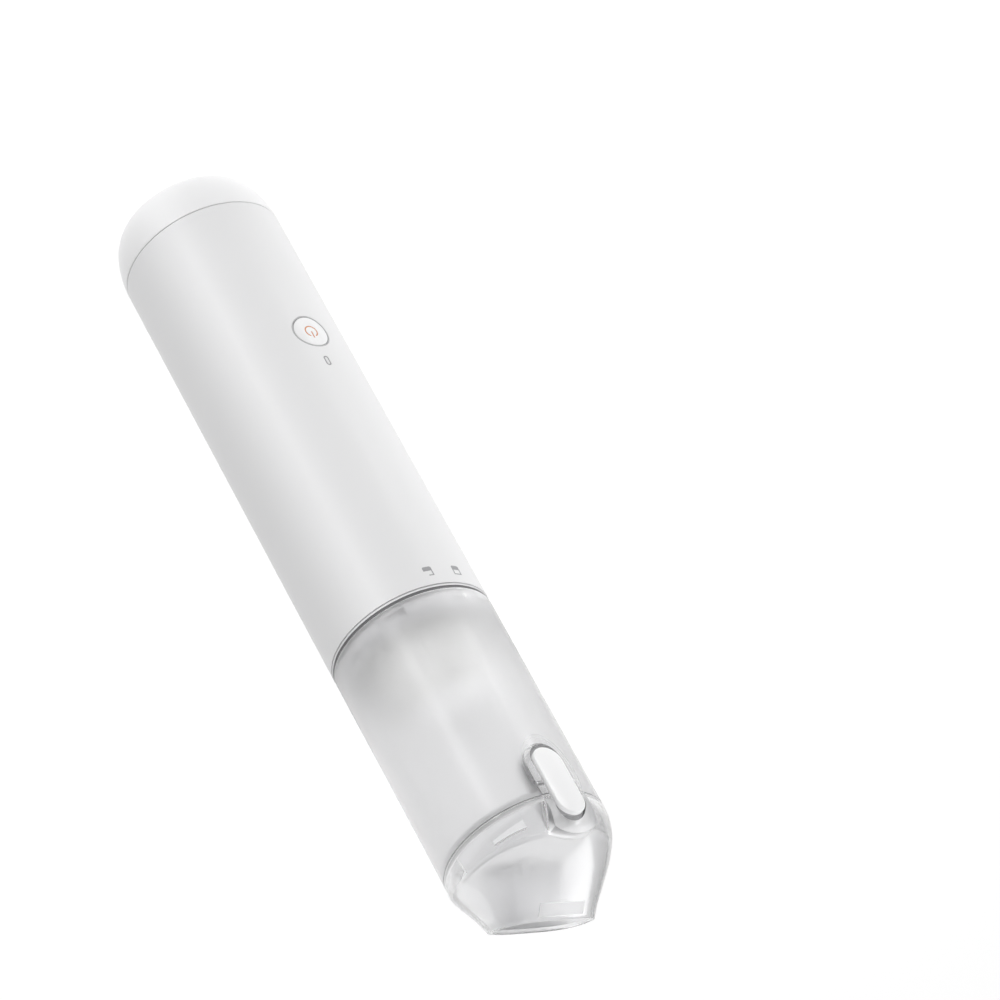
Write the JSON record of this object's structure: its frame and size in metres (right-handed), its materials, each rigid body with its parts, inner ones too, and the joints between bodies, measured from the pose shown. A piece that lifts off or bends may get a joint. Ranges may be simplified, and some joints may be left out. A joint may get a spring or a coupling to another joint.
{
  "type": "car vacuum cleaner",
  "caption": "Stick-shaped handheld car vacuum cleaner with a white body, a clear twist-off dust cup and a clear nozzle lid that a rocking latch holds shut.",
  "frame": {"origin": "centre of the flat rear face that it stands on", "axes": "+Z along the body towards the nozzle, -Y towards the power button and the latch, X across"},
  "size_m": [0.065, 0.0682, 0.3482],
  "materials": {
    "white_shell": "satin moulded white",
    "white_cap": "smooth moulded white",
    "white_latch": "glossy moulded white",
    "pale_plastic": "moulded pale grey-white",
    "clear_cup": "frosted clear",
    "clear_lid": "clear",
    "grey_plastic": "moulded grey",
    "black_plastic": "moulded black",
    "orange_sign": "light-guide orange",
    "dark_rubber": "moulded rubber",
    "pale_rubber": "silicone",
    "filter_paper": "pleated filter paper",
    "exhaust_foam": "open foam",
    "bright_steel": "bright steel",
    "core_steel": "dark core steel",
    "copper_winding": "enamelled copper",
    "circuit_board": "green solder mask",
    "cell_sleeve": "shrink sleeve over a metal cell",
    "lead_jacket": "soft jacket"
  },
  "bodies": {
    "body": {"tail_cap": "white_cap", "tail_screws": "bright_steel", "usb_socket": "bright_steel", "usb_board": "circuit_board", "body_tube": "white_shell", "inner_frame": "grey_plastic", "battery_cells": "cell_sleeve", "rear_cell_holder": "grey_plastic", "front_cell_holder": "grey_plastic", "cell_tabs": "bright_steel", "battery_leads": "lead_jacket", "control_board": "circuit_board", "board_components": "black_plastic", "button_board": "circuit_board", "tact_switch": "black_plastic", "status_led": "orange_sign", "status_light": "grey_plastic", "button_bezel": "grey_plastic", "motor_bush": "dark_rubber", "motor_can": "bright_steel", "motor_end_bell": "bright_steel", "stator_core": "core_steel", "stator_coils": "copper_winding", "motor_bearings": "bright_steel", "diffuser": "grey_plastic", "fan_shroud": "grey_plastic", "shroud_screws": "bright_steel", "motor_leads": "lead_jacket", "exhaust_filter": "exhaust_foam", "cup_collar": "pale_plastic", "cup_gasket": "dark_rubber", "filter_base": "pale_plastic", "filter_seal": "pale_rubber", "filter_pleats": "filter_paper", "filter_cap": "pale_plastic"},
    "button": {"power_button": "white_cap", "power_symbol": "orange_sign", "switch_plunger": "white_cap"},
    "rotor": {"motor_shaft": "bright_steel", "rotor_magnet": "core_steel", "impeller": "pale_plastic"},
    "cup": {"dust_cup": "clear_cup", "latch_pin": "bright_steel", "latch_spring": "bright_steel", "hinge_pin": "bright_steel"},
    "latch": {"latch_lever": "pale_plastic", "latch_face": "white_latch"},
    "lid": {"nozzle_lid": "clear_lid", "lid_insert": "clear_lid", "lid_seal": "pale_rubber", "intake_duct": "clear_lid"},
    "flap": {"intake_flap": "pale_rubber"}
  },
  "joints": [
    {"name": "power_press", "type": "slide", "parent": "body", "child": "button", "axis": [0, 1, 0], "range_m": [0, 0.0006], "stiffness_N_per_m": 400},
    {"name": "rotor_spin", "type": "hinge", "parent": "body", "child": "rotor", "pos_m": [0, 0, 0.16], "axis": [0, 0, 1], "continuous": true},
    {"name": "cup_twist", "type": "hinge", "parent": "body", "child": "cup", "pos_m": [0, 0, 0.217], "axis": [0, 0, 1], "range_deg": [0, 23]},
    {"name": "latch_rock", "type": "hinge", "parent": "cup", "child": "latch", "pos_m": [0, -0.029, 0.31], "axis": [1, 0, 0], "range_deg": [0, 10], "stiffness_Nm_per_rad": 0.1, "deforming": ["latch_spring"]},
    {"name": "lid_open", "type": "hinge", "parent": "cup", "child": "lid", "pos_m": [0, 0.0336, 0.316], "axis": [-1, 0, 0], "range_deg": [0, 105]},
    {"name": "flap_swing", "type": "hinge", "parent": "lid", "child": "flap", "pos_m": [0, -0.00811, 0.32779], "axis": [-1, 0, 0], "range_deg": [0, 60], "stiffness_Nm_per_rad": 0.01}
  ]
}
